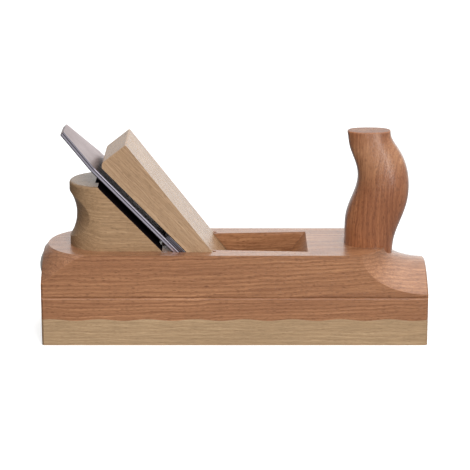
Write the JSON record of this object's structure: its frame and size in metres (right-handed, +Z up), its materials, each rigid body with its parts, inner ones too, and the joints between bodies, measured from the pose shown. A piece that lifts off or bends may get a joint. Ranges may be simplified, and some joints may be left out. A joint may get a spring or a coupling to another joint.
{
  "type": "hand plane",
  "caption": "Wooden bench plane with a double iron held by a wedge, a carved front horn, a rear hand guard and a pale hardwood sole.",
  "frame": {"origin": "centre of the flat underside of the sole", "axes": "+X towards the toe (horn end), +Y to the left of a user pushing towards +X, +Z up"},
  "size_m": [0.243, 0.065, 0.1313],
  "materials": {
    "body_beech": "steamed beech, planed and oiled, with short dark flecks",
    "sole_hornbeam": "hornbeam, planed and oiled",
    "horn_beech": "steamed beech, carved and varnished",
    "guard_beech": "pale beech, sanded and oiled",
    "wedge_beech": "pale beech, planed and oiled",
    "button_hornbeam": "pale hardwood, turned",
    "dowel_beech": "plain beech dowel",
    "iron_steel": "ground tool steel",
    "cap_steel": "ground and lightly oiled steel",
    "screw_steel": "turned steel",
    "boss_brass": "turned brass"
  },
  "bodies": {
    "stock": {"body_block": "body_beech", "sole": "sole_hornbeam", "horn": "horn_beech", "horn_dowel": "dowel_beech", "horn_screw": "screw_steel", "hand_guard": "guard_beech", "guard_dowels": "dowel_beech", "strike_button": "button_hornbeam"},
    "iron": {"plane_iron": "iron_steel"},
    "wedge": {"wedge": "wedge_beech"},
    "cap_iron": {"cap_iron": "cap_steel", "cap_iron_boss": "boss_brass"},
    "cap_screw": {"cap_iron_screw": "screw_steel"}
  },
  "joints": [
    {"name": "iron_slide", "type": "slide", "parent": "stock", "child": "iron", "axis": [-0.6947, 0, 0.7193], "range_m": [-0.001, 0.12]},
    {"name": "wedge_slide", "type": "slide", "parent": "iron", "child": "wedge", "axis": [-0.6947, 0, 0.7193], "range_m": [0, 0.09]},
    {"name": "cap_iron_slide", "type": "slide", "parent": "iron", "child": "cap_iron", "axis": [-0.6947, 0, 0.7193], "range_m": [0, 0.015]},
    {"name": "cap_screw_turn", "type": "hinge", "parent": "cap_iron", "child": "cap_screw", "pos_m": [-0.02577, 0, 0.0446], "axis": [0.7193, 0, 0.6947], "continuous": true}
  ]
}
